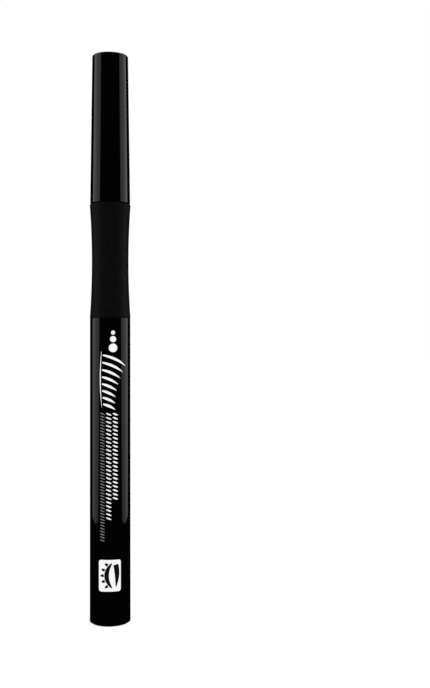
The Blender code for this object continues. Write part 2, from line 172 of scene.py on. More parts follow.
def makeSurroundings():
    world = bpy.data.worlds.new("whiteStudio")
    bpy.context.scene.world = world
    world.use_nodes = True
    nodes, links = world.node_tree.nodes, world.node_tree.links
    background = nodes["Background"]
    background.inputs["Color"].default_value = (1, 1, 1, 1)
    ray = nodes.new("ShaderNodeLightPath")
    heading = nodes.new("ShaderNodeTexCoord")
    parts = nodes.new("ShaderNodeSeparateXYZ")
    links.new(heading.outputs["Generated"], parts.inputs["Vector"])
    overhead = nodes.new("ShaderNodeMapRange")
    overhead.inputs["From Min"].default_value = studio["glossRise"][0]
    overhead.inputs["From Max"].default_value = studio["glossRise"][1]
    overhead.inputs["To Min"].default_value = studio["glossDark"]
    overhead.inputs["To Max"].default_value = studio["glossTop"]
    links.new(parts.outputs["Z"], overhead.inputs["Value"])
    matte = nodes.new("ShaderNodeMath")
    matte.operation = "MULTIPLY_ADD"
    matte.inputs[1].default_value = studio["daylight"]
    matte.inputs[2].default_value = studio["backdrop"]
    links.new(ray.outputs["Is Diffuse Ray"], matte.inputs[0])
    choose = nodes.new("ShaderNodeMix")
    links.new(ray.outputs["Is Glossy Ray"], choose.inputs["Factor"])
    links.new(matte.outputs["Value"], choose.inputs["A"])
    links.new(overhead.outputs["Result"], choose.inputs["B"])
    links.new(choose.outputs["Result"], background.inputs["Strength"])


def makeFloor():
    shape = bmesh.new()
    bmesh.ops.create_circle(
        shape, cap_ends=True, radius=studio["floorRadius"], segments=studio["floorSegments"])
    mesh = bpy.data.meshes.new("floor")
    shape.to_mesh(mesh)
    shape.free()
    paper = bpy.data.materials.new("floorPaper")
    paper.use_nodes = True
    shader = paper.node_tree.nodes["Principled BSDF"]
    shader.inputs["Base Color"].default_value = (*studio["floorColor"], 1)
    shader.inputs["Emission Color"].default_value = (1, 1, 1, 1)
    shader.inputs["Emission Strength"].default_value = studio["floorGlow"]
    shader.inputs["Roughness"].default_value = studio["floorRoughness"]
    shader.inputs["Specular IOR Level"].default_value = 0.0
    mesh.materials.append(paper)
    floor = bpy.data.objects.new("floor", mesh)
    floor.visible_glossy = False
    bpy.context.scene.collection.objects.link(floor)


bpy.context.scene.view_settings.view_transform = "Standard"
makeCamera()
for name, box in softboxes.items():
    makeSoftbox(name, box)
makeSurroundings()
makeFloor()
print("studio ready")


# Finishes: grain sizes and bump heights are real sizes, on each piece's own coordinates

alongPen = (1, 1, 0.04)          # stretches a grain into streaks along the pen
grainSpread = {
    "tint": (0.35, 0.65),        # levels of the grain between which dark turns into light
    "polish": (0.3, 0.7),        # and between which the roughness rises
}


def addGrain(material, size, stretch=(1, 1, 1), detail=3.0):
    nodes, links = material.node_tree.nodes, material.node_tree.links
    place = nodes.new("ShaderNodeTexCoord")
    fit = nodes.new("ShaderNodeMapping")
    fit.inputs["Scale"].default_value = [share / size for share in stretch]
    grain = nodes.new("ShaderNodeTexNoise")
    grain.inputs["Scale"].default_value = 1.0
    grain.inputs["Detail"].default_value = detail
    links.new(place.outputs["Object"], fit.inputs["Vector"])
    links.new(fit.outputs["Vector"], grain.inputs["Vector"])
    return grain.outputs["Fac"]


def makeFinish(name, look):
    material = bpy.data.materials.new(name)
    material.use_nodes = True
    nodes, links = material.node_tree.nodes, material.node_tree.links
    shader = nodes["Principled BSDF"]
    for socket, value in look.get("sockets", {}).items():
        shader.inputs[socket].default_value = value

    tint = nodes.new("ShaderNodeValToRGB")
    stops = zip(tint.color_ramp.elements, grainSpread["tint"], (look["dark"], look["light"]))
    for stop, level, shade in stops:
        stop.position = level
        stop.color = (*shade, 1)
    links.new(addGrain(material, *look["mottle"]), tint.inputs["Fac"])
    links.new(tint.outputs["Color"], shader.inputs["Base Color"])

    rough = nodes.new("ShaderNodeMapRange")
    rough.inputs["From Min"].default_value = grainSpread["polish"][0]
    rough.inputs["From Max"].default_value = grainSpread["polish"][1]
    rough.inputs["To Min"].default_value = look["roughness"][0]
    rough.inputs["To Max"].default_value = look["roughness"][1]
    links.new(addGrain(material, *look["polish"]), rough.inputs["Value"])
    links.new(rough.outputs["Result"], shader.inputs["Roughness"])

    normal = None
    for height, *grain in look["bumps"]:
        bump = nodes.new("ShaderNodeBump")
        bump.inputs["Distance"].default_value = height
        links.new(addGrain(material, *grain), bump.inputs["Height"])
        if normal:
            links.new(normal, bump.inputs["Normal"])
        normal = bump.outputs["Normal"]
    links.new(normal, shader.inputs["Normal"])
    return material


glossBlack = {
    "dark": (0.0006, 0.0006, 0.0007),
    "light": (0.001, 0.001, 0.0011),
    "mottle": (6 * mm,),
    "roughness": (0.025, 0.05),
    "polish": (0.3 * mm, alongPen),
    "bumps": [(0.0003 * mm, 1.5 * mm)],              # faint waviness of a moulded gloss
}
plugGloss = dict(glossBlack, roughness=(0.08, 0.14))
nozzleGloss = dict(
    glossBlack,
    dark=(0.004, 0.004, 0.0042),
    light=(0.0055, 0.0055, 0.0057),
    roughness=(0.05, 0.08),
    sockets={"Specular IOR Level": 0.62},
)
gripRubber = {
    "dark": (0.0026, 0.0026, 0.0027),
    "light": (0.0034, 0.0034, 0.0035),
    "mottle": (1.2 * mm,),
    "roughness": (0.38, 0.46),
    "polish": (0.6 * mm,),
    "bumps": [(0.004 * mm, 0.15 * mm), (0.003 * mm, 0.6 * mm)],
    "sockets": {"Specular IOR Level": 0.05},
}
nibFelt = {
    "dark": (0.0003, 0.0003, 0.0003),
    "light": (0.0012, 0.0012, 0.0012),
    "mottle": (0.09 * mm, alongPen),
    "roughness": (0.22, 0.3),
    "polish": (0.2 * mm, alongPen),
    "bumps": [(0.003 * mm, 0.09 * mm, alongPen), (0.002 * mm, 0.05 * mm)],
    "sockets": {"Specular IOR Level": 0.6},
}
darkPlastic = {
    "dark": (0.016, 0.016, 0.017),
    "light": (0.024, 0.024, 0.026),
    "mottle": (2 * mm,),
    "roughness": (0.3, 0.42),
    "polish": (0.4 * mm, alongPen),
    "bumps": [(0.0015 * mm, 0.12 * mm)],
}
naturalPlastic = {
    "dark": (0.66, 0.67, 0.64),
    "light": (0.74, 0.75, 0.72),
    "mottle": (3 * mm, alongPen),
    "roughness": (0.26, 0.36),
    "polish": (0.8 * mm, alongPen),
    "bumps": [(0.001 * mm, 0.5 * mm, alongPen)],
    "sockets": {"Transmission Weight": 0.35, "Specular IOR Level": 0.5},
}
whitePlastic = {
    "dark": (0.72, 0.72, 0.7),
    "light": (0.8, 0.8, 0.78),
    "mottle": (2 * mm,),
    "roughness": (0.36, 0.46),
    "polish": (0.5 * mm,),
    "bumps": [(0.001 * mm, 0.2 * mm)],
}
sealRubber = {
    "dark": (0.01, 0.01, 0.0105),
    "light": (0.018, 0.018, 0.019),
    "mottle": (0.8 * mm,),
    "roughness": (0.5, 0.62),
    "polish": (0.3 * mm,),
    "bumps": [(0.002 * mm, 0.1 * mm)],
}
steel = {
    "dark": (0.5, 0.5, 0.52),
    "light": (0.62, 0.62, 0.64),
    "mottle": (0.7 * mm,),
    "roughness": (0.14, 0.26),
    "polish": (0.15 * mm,),
    "bumps": [(0.0006 * mm, 0.1 * mm)],
    "sockets": {"Metallic": 1.0},
}
inkedFibre = {
    "dark": (0.003, 0.003, 0.003),
    "light": (0.012, 0.012, 0.012),
    "mottle": (0.06 * mm, alongPen),
    "roughness": (0.75, 0.9),
    "polish": (0.2 * mm, alongPen),
    "bumps": [(0.006 * mm, 0.06 * mm, alongPen)],
}
whiteInk = {
    "dark": (0.84, 0.84, 0.84),
    "light": (0.9, 0.9, 0.9),
    "mottle": (0.25 * mm,),
    "roughness": (0.3, 0.42),
    "polish": (0.2 * mm,),
    "bumps": [(0.0004 * mm, 0.2 * mm)],
}
greyInk = dict(whiteInk, dark=(0.12, 0.12, 0.12), light=(0.17, 0.17, 0.17))
blackInk = dict(whiteInk, dark=(0.002, 0.002, 0.002), light=(0.004, 0.004, 0.004))


# Turned pieces: a corner is (radius, height), or has its fillet as a third number

def spinCorners(corners, segments):
    shape = bmesh.new()
    verts = [shape.verts.new((corner[0], 0, corner[1])) for corner in corners]
    edges = [shape.edges.new(pair) for pair in zip(verts, verts[1:])]
    if all(corner[0] > 0 for corner in corners):
        edges.append(shape.edges.new((verts[-1], verts[0])))
    bmesh.ops.spin(
        shape, geom=verts + edges, cent=(0, 0, 0), axis=(0, 0, 1), angle=math.tau,
        steps=segments, use_merge=True)
    bmesh.ops.remove_doubles(shape, verts=shape.verts, dist=meshWork["weld"])
    bmesh.ops.recalc_face_normals(shape, faces=shape.faces)
    return shape


def softenRing(shape, radius, height, fillet):
    near = meshWork["ringTolerance"]
    ring = []
    for edge in shape.edges:
        if all(abs(vert.co.z - height) < near and abs(vert.co.xy.length - radius) < near
               for vert in edge.verts):
            ring.append(edge)
    bmesh.ops.bevel(
        shape, geom=ring, offset=fillet, offset_type="OFFSET", segments=meshWork["filletSteps"],
        profile=0.5, affect="EDGES", clamp_overlap=True, material=-1)


def finishPiece(name, shape, body, material):
    mesh = bpy.data.meshes.new(name)
    shape.to_mesh(mesh)
    shape.free()
    mesh.materials.append(material)
    mesh.shade_smooth()
    mesh.set_sharp_from_angle(angle=meshWork["sharpAngle"])
    piece = bpy.data.objects.new(name, mesh)
    bpy.context.scene.collection.objects.link(piece)
    even = piece.modifiers.new("evenShading", "WEIGHTED_NORMAL")
    even.keep_sharp = True
    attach(piece, body)
    return piece


def standFor(piece, node):
    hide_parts(node)
    print(piece.name, "stands for", node)


def turnPiece(name, corners, body, material, segments):
    shape = spinCorners(corners, segments)
    for radius, height, *fillet in corners:
        if fillet:
            softenRing(shape, radius, height, fillet[0])
    return finishPiece(name, shape, body, material)


outer, inner = meshWork["outerSegments"], meshWork["innerSegments"]


# Barrel and its end plug

barrel = {
    "topRadius": 4.995 * mm,
    "boreRadius": 4.0 * mm,
    "baseFillet": 0.06 * mm,
    "topFillet": 0.06 * mm,
    "boreChamfer": 0.08 * mm,
}
endPlug = {
    "rimHeight": 0.27 * mm,
    "rimFillet": 0.09 * mm,
    "wall": 0.9 * mm,
    "ribHeight": 0.1 * mm,
    "ribLength": 1.2 * mm,
    "leadFillet": 0.3 * mm,
}


def makeBarrel(material):
    radius, foot, top = turnedSize("barrel")
    corners = [
        (barrel["topRadius"], top, barrel["topFillet"]),
        (radius, foot, barrel["baseFillet"]),
        (barrel["boreRadius"], foot, barrel["boreChamfer"]),
        (barrel["boreRadius"], top, barrel["boreChamfer"]),
    ]
    piece = turnPiece("barrelTube", corners, "pen", material, outer)
    standFor(piece, "barrel")


def makeEndPlug(material):
    rim, foot, top = turnedSize("end_plug")
    seat = foot + endPlug["rimHeight"]
    rib = barrel["boreRadius"] - fitGap
    stem = rib - endPlug["ribHeight"]
    bore = stem - endPlug["wall"]
    ribFoot = (seat + top - endPlug["ribLength"]) / 2
    ribTop = ribFoot + endPlug["ribLength"]
    corners = [
        (0, seat + endPlug["wall"]),
        (bore, seat + endPlug["wall"], endPlug["leadFillet"]),
        (bore, top, endPlug["rimFillet"]),
        (stem, top, endPlug["leadFillet"]),
        (stem, ribTop),
        (rib, ribTop - endPlug["ribHeight"]),
        (rib, ribFoot + endPlug["ribHeight"]),
        (stem, ribFoot),
        (stem, seat),
        (rim, seat),
        (rim, foot, endPlug["rimFillet"]),
        (0, foot),
    ]
    piece = turnPiece("endPlugBase", corners, "pen", material, outer)
    standFor(piece, "end_plug")


makeBarrel(makeFinish("barrelGloss", glossBlack))
makeEndPlug(makeFinish("plugGloss", plugGloss))


# Soft grip

grip = {
    "waistRadius": 4.54 * mm,
    "waistSteps": 40,
    "lipFillet": 0.5 * mm,
    "lipShare": 0.98,            # of the straight lip that its fillet takes
    "footFillet": 0.1 * mm,
    "boreChamfer": 0.1 * mm,
}
frontBarrel = {
    "neckRadius": 3.79 * mm,
    "spigotLength": 8.68 * mm,
    "boreRadius": 2.95 * mm,
    "chamfer": 0.15 * mm,
}


def makeGrip(material):
    radius, foot, top = turnedSize("grip_sleeve")
    lip = top - grip["lipFillet"]
    bore = frontBarrel["neckRadius"] + fitGap
    corners = [(radius, top, grip["lipFillet"] * grip["lipShare"])]
    for step in range(grip["waistSteps"]):
        share = 1 - step / grip["waistSteps"]
        swell = (radius - grip["waistRadius"]) * (2 * share - 1) ** 2
        corners.append((grip["waistRadius"] + swell, foot + (lip - foot) * share))
    corners += [
        (radius, foot, grip["footFillet"]),
        (bore, foot, grip["boreChamfer"]),
        (bore, top, grip["boreChamfer"]),
    ]
    piece = turnPiece("gripSleeveSoft", corners, "pen", material, outer)
    standFor(piece, "grip_sleeve")


def makeFrontBarrel(material):
    spigot, foot, top = turnedSize("front_barrel")
    shoulder = foot + frontBarrel["spigotLength"]
    neck, bore, chamfer = frontBarrel["neckRadius"], frontBarrel["boreRadius"], frontBarrel["chamfer"]
    corners = [
        (neck, top, chamfer),
        (neck, shoulder),
        (spigot, shoulder),
        (spigot, foot, chamfer),
        (bore, foot, chamfer),
        (bore, top),
    ]
    piece = turnPiece("frontBarrelTube", corners, "pen", material, inner)
    standFor(piece, "front_barrel")


innerDark = makeFinish("innerDark", darkPlastic)
makeGrip(makeFinish("gripRubber", gripRubber))
makeFrontBarrel(innerDark)


# Ink tank, its ball, seal, collector and wick

tank = {
    "wall": 0.75 * mm,
    "floor": 0.8 * mm,
    "corner": 0.6 * mm,
    "lipChamfer": 0.15 * mm,
}
mixingBall = {"segments": 48, "rings": 24}
collector = {
    "flange": 0.8 * mm,
    "coreWall": 0.7 * mm,
    "fins": 18,
    "finShare": 0.4,             # of the pitch from fin to fin
    "finFillet": 0.08 * mm,
    "slotWidth": 0.6 * mm,
    "plugDepth": 5.5 * mm,
    "sealWire": 0.3 * mm,
    "wireSegments": 24,
}
wick = {"radius": 0.8 * mm, "slideGap": 0.1 * mm, "chamfer": 0.1 * mm}


def makeTank(material):
    radius, foot, top = turnedSize("ink_tank")
    bore = radius - tank["wall"]
    corners = [
        (0, foot + tank["floor"]),
        (bore, foot + tank["floor"], tank["corner"]),
        (bore, top, tank["lipChamfer"]),
        (radius, top, tank["lipChamfer"]),
        (radius, foot, tank["corner"]),
        (0, foot),
    ]
    piece = turnPiece("inkTankShell", corners, "pen", material, inner)
    standFor(piece, "ink_tank")


def makeBall(material):
    radius, foot, top = turnedSize("mixing_ball")
    shape = bmesh.new()
    middle = Matrix.Translation((0, 0, (foot + top) / 2))
    bmesh.ops.create_uvsphere(
        shape, u_segments=mixingBall["segments"], v_segments=mixingBall["rings"], radius=radius,
        matrix=middle)
    piece = finishPiece("mixingBallSteel", shape, "mixing_ball", material)
    standFor(piece, "mixing_ball")


def makeCollector(material):
    flangeRadius, foot, top = turnedSize("ink_collector")
    flangeFoot = foot + collector["plugDepth"]
    combFoot = flangeFoot + collector["flange"]
    pitch = (top - combFoot) / collector["fins"]
    fin = frontBarrel["boreRadius"] - fitGap
    bore = wick["radius"] + wick["slideGap"]
    core = bore + collector["coreWall"]
    plug = turnedSize("ink_tank")[0] - tank["wall"] - fitGap
    groove = plug - 2 * collector["sealWire"] - fitGap
    grooveHalf = collector["sealWire"] + fitGap
    grooveMiddle = (foot + flangeFoot) / 2
    corners = []
    for index in range(collector["fins"]):
        level = top - pitch * index
        under = level - pitch * collector["finShare"]
        corners += [(fin, level, collector["finFillet"]), (fin, under, collector["finFillet"])]
        corners += [(core, under), (core, level - pitch)]
    corners += [
        (flangeRadius, combFoot, collector["finFillet"]),
        (flangeRadius, flangeFoot, collector["finFillet"]),
        (plug, flangeFoot),
        (plug, grooveMiddle + grooveHalf),
        (groove, grooveMiddle + grooveHalf),
        (groove, grooveMiddle - grooveHalf),
        (plug, grooveMiddle - grooveHalf),
        (plug, foot, tank["lipChamfer"]),
        (bore, foot),
        (bore, top),
    ]
    piece = turnPiece("inkCollectorComb", corners, "pen", material, inner)
    standFor(piece, "ink_collector")
    cutAirSlot(piece, core + wick["slideGap"], fin, combFoot + wick["slideGap"], top)


def cutAirSlot(piece, near, far, low, high):
    # one slot lets the air down through the fins
    shape = bmesh.new()
    bmesh.ops.create_cube(shape, size=1)
    overrun = collector["slotWidth"]
    length, height = far - near + overrun, high - low + overrun
    bmesh.ops.scale(shape, vec=(length, collector["slotWidth"], height), verts=shape.verts)
    bmesh.ops.translate(shape, vec=(near + length / 2, 0, low + height / 2), verts=shape.verts)
    mesh = bpy.data.meshes.new("slotCutter")
    shape.to_mesh(mesh)
    shape.free()
    cutter = bpy.data.objects.new("slotCutter", mesh)
    bpy.context.scene.collection.objects.link(cutter)
    slot = piece.modifiers.new("airSlot", "BOOLEAN")
    slot.object = cutter
    slot.operation = "DIFFERENCE"
    bpy.context.view_layer.update()
    solved = piece.evaluated_get(bpy.context.evaluated_depsgraph_get())
    piece.data = bpy.data.meshes.new_from_object(solved)
    piece.modifiers.clear()
    piece.data.name = piece.name
    bpy.data.objects.remove(cutter)


def makeTankSeal(material):
    radius, foot, top = turnedSize("tank_seal")
    wire = collector["sealWire"]
    shape = bmesh.new()
    middle = Matrix.Translation((radius - wire, 0, (foot + top) / 2))
    bmesh.ops.create_circle(
        shape, radius=wire, segments=collector["wireSegments"],
        matrix=middle @ Matrix.Rotation(math.pi / 2, 4, "X"))
    bmesh.ops.spin(
        shape, geom=shape.verts[:] + shape.edges[:], cent=(0, 0, 0), axis=(0, 0, 1), angle=math.tau,
        steps=inner, use_merge=True)
    bmesh.ops.remove_doubles(shape, verts=shape.verts, dist=meshWork["weld"])
    bmesh.ops.recalc_face_normals(shape, faces=shape.faces)
    piece = finishPiece("tankSealRing", shape, "pen", material)
    standFor(piece, "tank_seal")


def makeWick(material):
    radius, foot, top = turnedSize("feed_wick")
    corners = [(0, top), (radius, top, wick["chamfer"]), (radius, foot, wick["chamfer"]), (0, foot)]
    piece = turnPiece("feedWickRod", corners, "pen", material, inner)
    standFor(piece, "feed_wick")


blackRubber = makeFinish("blackRubber", sealRubber)
makeTank(makeFinish("tankNatural", naturalPlastic))
makeBall(makeFinish("ballSteel", steel))
makeCollector(makeFinish("collectorWhite", whitePlastic))
makeTankSeal(blackRubber)
makeWick(makeFinish("wickFibre", inkedFibre))


# Nozzle, nib holder and nib

nozzle = {
    "beadHeight": 0.11 * mm,
    "beadFoot": 2.9 * mm,        # above the top of the grip
    "beadLength": 0.5 * mm,
    "beadRamp": 0.2 * mm,        # slope under the bead
    "beadFillet": 0.035 * mm,
    "grooveDepth": 0.09 * mm,    # the slope ends in a fine groove in the neck
    "grooveLip": 0.07 * mm,
    "grooveFillet": 0.015 * mm,
    "stepHeight": 0.04 * mm,
    "stepLength": 0.4 * mm,
    "flareLength": 10.2 * mm,
    "flarePower": 1.9,
    "flareSteps": 36,
    "mouthWall": 0.66 * mm,
    "mouthLength": 3.2 * mm,
    "mouthFillet": 0.2 * mm,
    "mouthLip": 1.0 * mm,
    "neckFoot": 1.0 * mm,        # below the top of the grip
    "chamfer": 0.1 * mm,
}
nib = {
    "exposed": 10.7 * mm,
    "tipRadius": 0.05 * mm,
    "bulge": 0.03 * mm,          # the cone swells this far from straight
    "coneSteps": 16,
    "socketDepth": 2.85 * mm,
}
holderWall = 0.22 * mm


def makeNozzle(material):
    bead, foot, top = turnedSize("nozzle")
    gripTop = turnedSize("grip_sleeve")[2]
    nibBore = turnedSize("nib")[0] + fitGap
    holderBore = nibBore + holderWall + fitGap
    mouth = holderBore + nozzle["mouthWall"]
    neck = bead - nozzle["beadHeight"]
    step = neck + nozzle["stepHeight"]
    spigot = frontBarrel["boreRadius"] - fitGap
    mouthFoot = top - nozzle["mouthLength"]
    beadFoot = gripTop + nozzle["beadFoot"]
    beadTop = beadFoot + nozzle["beadLength"]
    neckFoot = gripTop - nozzle["neckFoot"] + fitGap
    corners = [(nibBore, top, nozzle["chamfer"]), (mouth, top, nozzle["mouthFillet"])]
    for index in range(nozzle["flareSteps"] + 1):
        share = index / nozzle["flareSteps"]
        radius = mouth + (neck - mouth) * share ** nozzle["flarePower"]
        corners.append((radius, mouthFoot - nozzle["flareLength"] * share))
    corners += [
        (step, beadTop + nozzle["stepLength"]),
        (step, beadTop),
        (bead, beadTop, nozzle["beadFillet"]),
        (bead, beadFoot + nozzle["beadRamp"], nozzle["grooveFillet"]),
        (neck - nozzle["grooveDepth"], beadFoot),
        (neck, beadFoot - nozzle["grooveLip"], nozzle["grooveFillet"]),
        (neck, neckFoot, nozzle["chamfer"]),
        (spigot, neckFoot),
        (spigot, foot, nozzle["chamfer"]),
        (holderBore, foot, nozzle["chamfer"]),
        (holderBore, top - nozzle["mouthLip"]),
        (nibBore, top - nozzle["mouthLip"]),
    ]
    piece = turnPiece("nozzleFlare", corners, "pen", material, outer)
    standFor(piece, "nozzle")


def makeNibHolder(material):
    radius, foot, top = turnedSize("nib_holder")
    step = turnedSize("nib")[1] - fitGap
    wickBore = wick["radius"] + wick["slideGap"]
    corners = [
        (radius, top, holderWall / 4),
        (radius, foot, holderWall / 4),
        (wickBore, foot),
        (wickBore, step),
        (radius - holderWall, step),
        (radius - holderWall, top),
    ]
    piece = turnPiece("nibHolderTube", corners, "pen", material, inner)
    standFor(piece, "nib_holder")


def makeNib(material):
    radius, foot, top = turnedSize("nib")
    shoulder = top - nib["exposed"]
    cone = nib["exposed"] - nib["tipRadius"]
    socket = wick["radius"] + fitGap
    corners = [(0, top)]
    for index in range(nib["coneSteps"] + 1):
        share = index / nib["coneSteps"]
        width = nib["tipRadius"] + (radius - nib["tipRadius"]) * share
        width += nib["bulge"] * math.sin(math.pi * share)
        corners.append((width, shoulder + cone * (1 - share)))
    corners += [
        (radius, foot, holderWall / 2),
        (socket, foot),
        (socket, foot + nib["socketDepth"]),
        (0, foot + nib["socketDepth"]),
    ]
    piece = turnPiece("nibPoint", corners, "pen", material, outer)
    standFor(piece, "nib")


makeNozzle(makeFinish("nozzleGloss", nozzleGloss))
makeNibHolder(innerDark)
makeNib(makeFinish("nibFelt", nibFelt))


# Cap with its retainer, spring, inner cap and washer

cap = {
    "topRadius": 4.436 * mm,
    "topWall": 1.1 * mm,
    "topFillet": 0.35 * mm,
    "rimFillet": 0.14 * mm,
    "boreRadius": 3.6 * mm,
    "chamfer": 0.3 * mm,
    "snapGap": 0.04 * mm,
    "snapHeight": 0.08 * mm,
    "snapLength": 0.8 * mm,
    "snapBelowBead": 0.3 * mm,
    "retainerRoom": 0.34 * mm,   # between the retainer and the nozzle's mouth
}
innerCap = {
    "flangeHeight": 1.2 * mm,
    "skirtWall": 0.65 * mm,
    "shoulder": 0.6 * mm,
    "nibRoom": 0.52 * mm,
    "washerRoom": 0.32 * mm,     # between the washer and the nib
    "wall": 0.6 * mm,
    "top": 0.8 * mm,
    "chamfer": 0.3 * mm,
    "edgeFillet": 0.1 * mm,
}
coilSpring = {
    "wire": 0.2 * mm,
    "wireSegments": 12,
    "openTurns": 7,
    "closedTurns": 1,            # at each end
    "closedPitch": 0.5 * mm,
    "turnSteps": 48,
}


def makeCap(material):
    radius, foot, top = turnedSize("cap_shell")
    beadFoot = turnedSize("grip_sleeve")[2] + nozzle["beadFoot"]
    snap = turnedSize("nozzle")[0] + cap["snapGap"]
    mouth = snap + cap["snapHeight"]
    snapTop = beadFoot - cap["snapBelowBead"]
    snapFoot = snapTop - cap["snapLength"]
    step = turnedSize("cap_retainer")[1] - fitGap
    corners = [
        (0, top),
        (cap["topRadius"], top, cap["topFillet"]),
        (radius, foot, cap["rimFillet"]),
        (mouth + cap["chamfer"], foot),
        (mouth, foot + cap["chamfer"]),
        (mouth, snapFoot),
        (snap, snapFoot + cap["snapHeight"]),
        (snap, snapTop - cap["snapHeight"]),
        (mouth, snapTop),
        (mouth, step),
        (cap["boreRadius"], step),
        (cap["boreRadius"], top - cap["topWall"], cap["chamfer"]),
        (0, top - cap["topWall"]),
    ]
    piece = turnPiece("capOuter", corners, "cap", material, outer)
    standFor(piece, "cap_shell")


def makeRetainer(material):
    radius, foot, top = turnedSize("cap_retainer")
    bore = turnedSize("inner_cap_seal")[0] + cap["retainerRoom"]
    corners = [
        (radius, top),
        (radius, foot, cap["chamfer"]),
        (bore, foot, innerCap["edgeFillet"]),
        (bore, top, innerCap["edgeFillet"]),
    ]
    piece = turnPiece("capRetainerRing", corners, "cap", material, outer)
    standFor(piece, "cap_retainer")


def makeInnerCap(material):
    flange, foot, top = turnedSize("inner_cap")
    skirtBore = turnedSize("inner_cap_seal")[0] + fitGap
    skirt = skirtBore + innerCap["skirtWall"]
    bore = turnedSize("nib")[0] + innerCap["nibRoom"]
    body = bore + innerCap["wall"]
    shoulder = turnedSize("inner_cap_seal")[2] + fitGap
    skirtTop = shoulder + innerCap["shoulder"]
    edge = innerCap["edgeFillet"]
    corners = [
        (0, top),
        (body, top, innerCap["chamfer"]),
        (body, skirtTop),
        (skirt, skirtTop, edge),
        (skirt, foot + innerCap["flangeHeight"]),
        (flange, foot + innerCap["flangeHeight"], edge),
        (flange, foot, edge),
        (skirtBore + innerCap["chamfer"], foot),
        (skirtBore, foot + innerCap["chamfer"]),
        (skirtBore, shoulder),
        (bore, shoulder),
        (bore, top - innerCap["top"], innerCap["chamfer"]),
        (0, top - innerCap["top"]),
    ]
    piece = turnPiece("innerCapShell", corners, "inner_cap", material, outer)
    standFor(piece, "inner_cap")


def makeWasher(material):
    radius, foot, top = turnedSize("inner_cap_seal")
    bore = turnedSize("nib")[0] + innerCap["washerRoom"]
    edge = innerCap["edgeFillet"]
    corners = [(radius, top, edge), (radius, foot, edge), (bore, foot, edge), (bore, top, edge)]
    piece = turnPiece("innerCapWasher", corners, "inner_cap", material, outer)
    standFor(piece, "inner_cap_seal")


def makeSpring(material):
    radius, foot, top = turnedSize("cap_spring")
    wire = coilSpring["wire"]
    closedRise = coilSpring["closedPitch"] * coilSpring["closedTurns"]
    openRise = top - foot - 2 * wire - 2 * closedRise
    shape = bmesh.new()
    upright = Matrix.Translation((radius - wire, 0, foot + wire)) @ Matrix.Rotation(math.pi / 2, 4, "X")
    bmesh.ops.create_circle(shape, radius=wire, segments=coilSpring["wireSegments"], matrix=upright)
    ring = shape.verts[:] + shape.edges[:]
    stretches = [
        (coilSpring["closedTurns"], closedRise),
        (coilSpring["openTurns"], openRise),
        (coilSpring["closedTurns"], closedRise),
    ]
    for turns, rise in stretches:
        steps = turns * coilSpring["turnSteps"]
        made = bmesh.ops.spin(
            shape, geom=ring, cent=(0, 0, 0), axis=(0, 0, 1), dvec=(0, 0, rise / steps),
            angle=math.tau * turns, steps=steps)
        ring = made["geom_last"]
    bmesh.ops.remove_doubles(shape, verts=shape.verts, dist=meshWork["weld"])
    bmesh.ops.holes_fill(shape, edges=shape.edges, sides=0)
    bmesh.ops.recalc_face_normals(shape, faces=shape.faces)
    piece = finishPiece("capCoilSpring", shape, "cap", material)
    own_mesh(piece)
    standFor(piece, "cap_spring")


makeCap(makeFinish("capGloss", glossBlack))
makeRetainer(innerDark)
makeInnerCap(innerDark)
makeWasher(blackRubber)
makeSpring(makeFinish("springSteel", steel))


# Print on the barrel: drawn flat, across by height, then bent round the tube

printWork = {
    "turn": math.atan2(cameraView["place"][0], -cameraView["place"][1]),    # its middle faces the camera
    "sink": 0.003 * mm,          # into the barrel
    "inkHeight": 0.004 * mm,
    "iconHeight": 0.0048 * mm,
    "stripWidth": 0.3 * mm,      # between the cuts that let it bend
    "weld": 0.004 * mm,
    "strokeSteps": 14,
}
gradedDots = {
    "across": 0.7 * mm,
    "top": 72.5 * mm,
    "gap": 0.35 * mm,
    "radii": [0.5 * mm, 0.75 * mm, 1.05 * mm],
    "sides": 40,
}
lashFan = {
    "lidTop": Vector((-2.2, 67.4)) * mm,
    "lidBow": Vector((-2.9, 60.0)) * mm,
    "lidFoot": Vector((-2.1, 53.7)) * mm,
    "lidWidths": (0.08 * mm, 0.42 * mm, 0.05 * mm),
    "lashes": 8,
    "gap": 0.22 * mm,            # from the lid line to a lash
    "longest": 6.4 * mm,
    "shortest": 3.0 * mm,
    "slantShare": 0.45,          # drop of a lash's tip over its length
    "bowShare": 0.12,            # how far a lash bows, over its length
    "bowHeading": Vector((0.3, 1)),    # up, and a little away from the lid line
    "lashWidths": (0.3 * mm, 1.05 * mm, 0.05 * mm),
}
markRows = [
    {"from": 0.62 * mm, "to": 1.9 * mm, "top": 52.5 * mm, "low": 30.9 * mm, "pitch": 0.98 * mm,
     "widths": (0.14 * mm, 0.68 * mm, 0.14 * mm), "slant": 0.5 * mm},
    {"from": -1.02 * mm, "to": 0.28 * mm, "top": 52.5 * mm, "low": 26.0 * mm, "pitch": 0.98 * mm,
     "widths": (0.14 * mm, 0.58 * mm, 0.14 * mm), "slant": 0.5 * mm},
]
fineRow = {"from": -2.56 * mm, "to": -1.36 * mm, "top": 52.5 * mm, "low": 20.7 * mm, "pitch": 0.72 * mm,
           "widths": (0.12 * mm, 0.46 * mm, 0.12 * mm), "slant": 0.35 * mm}
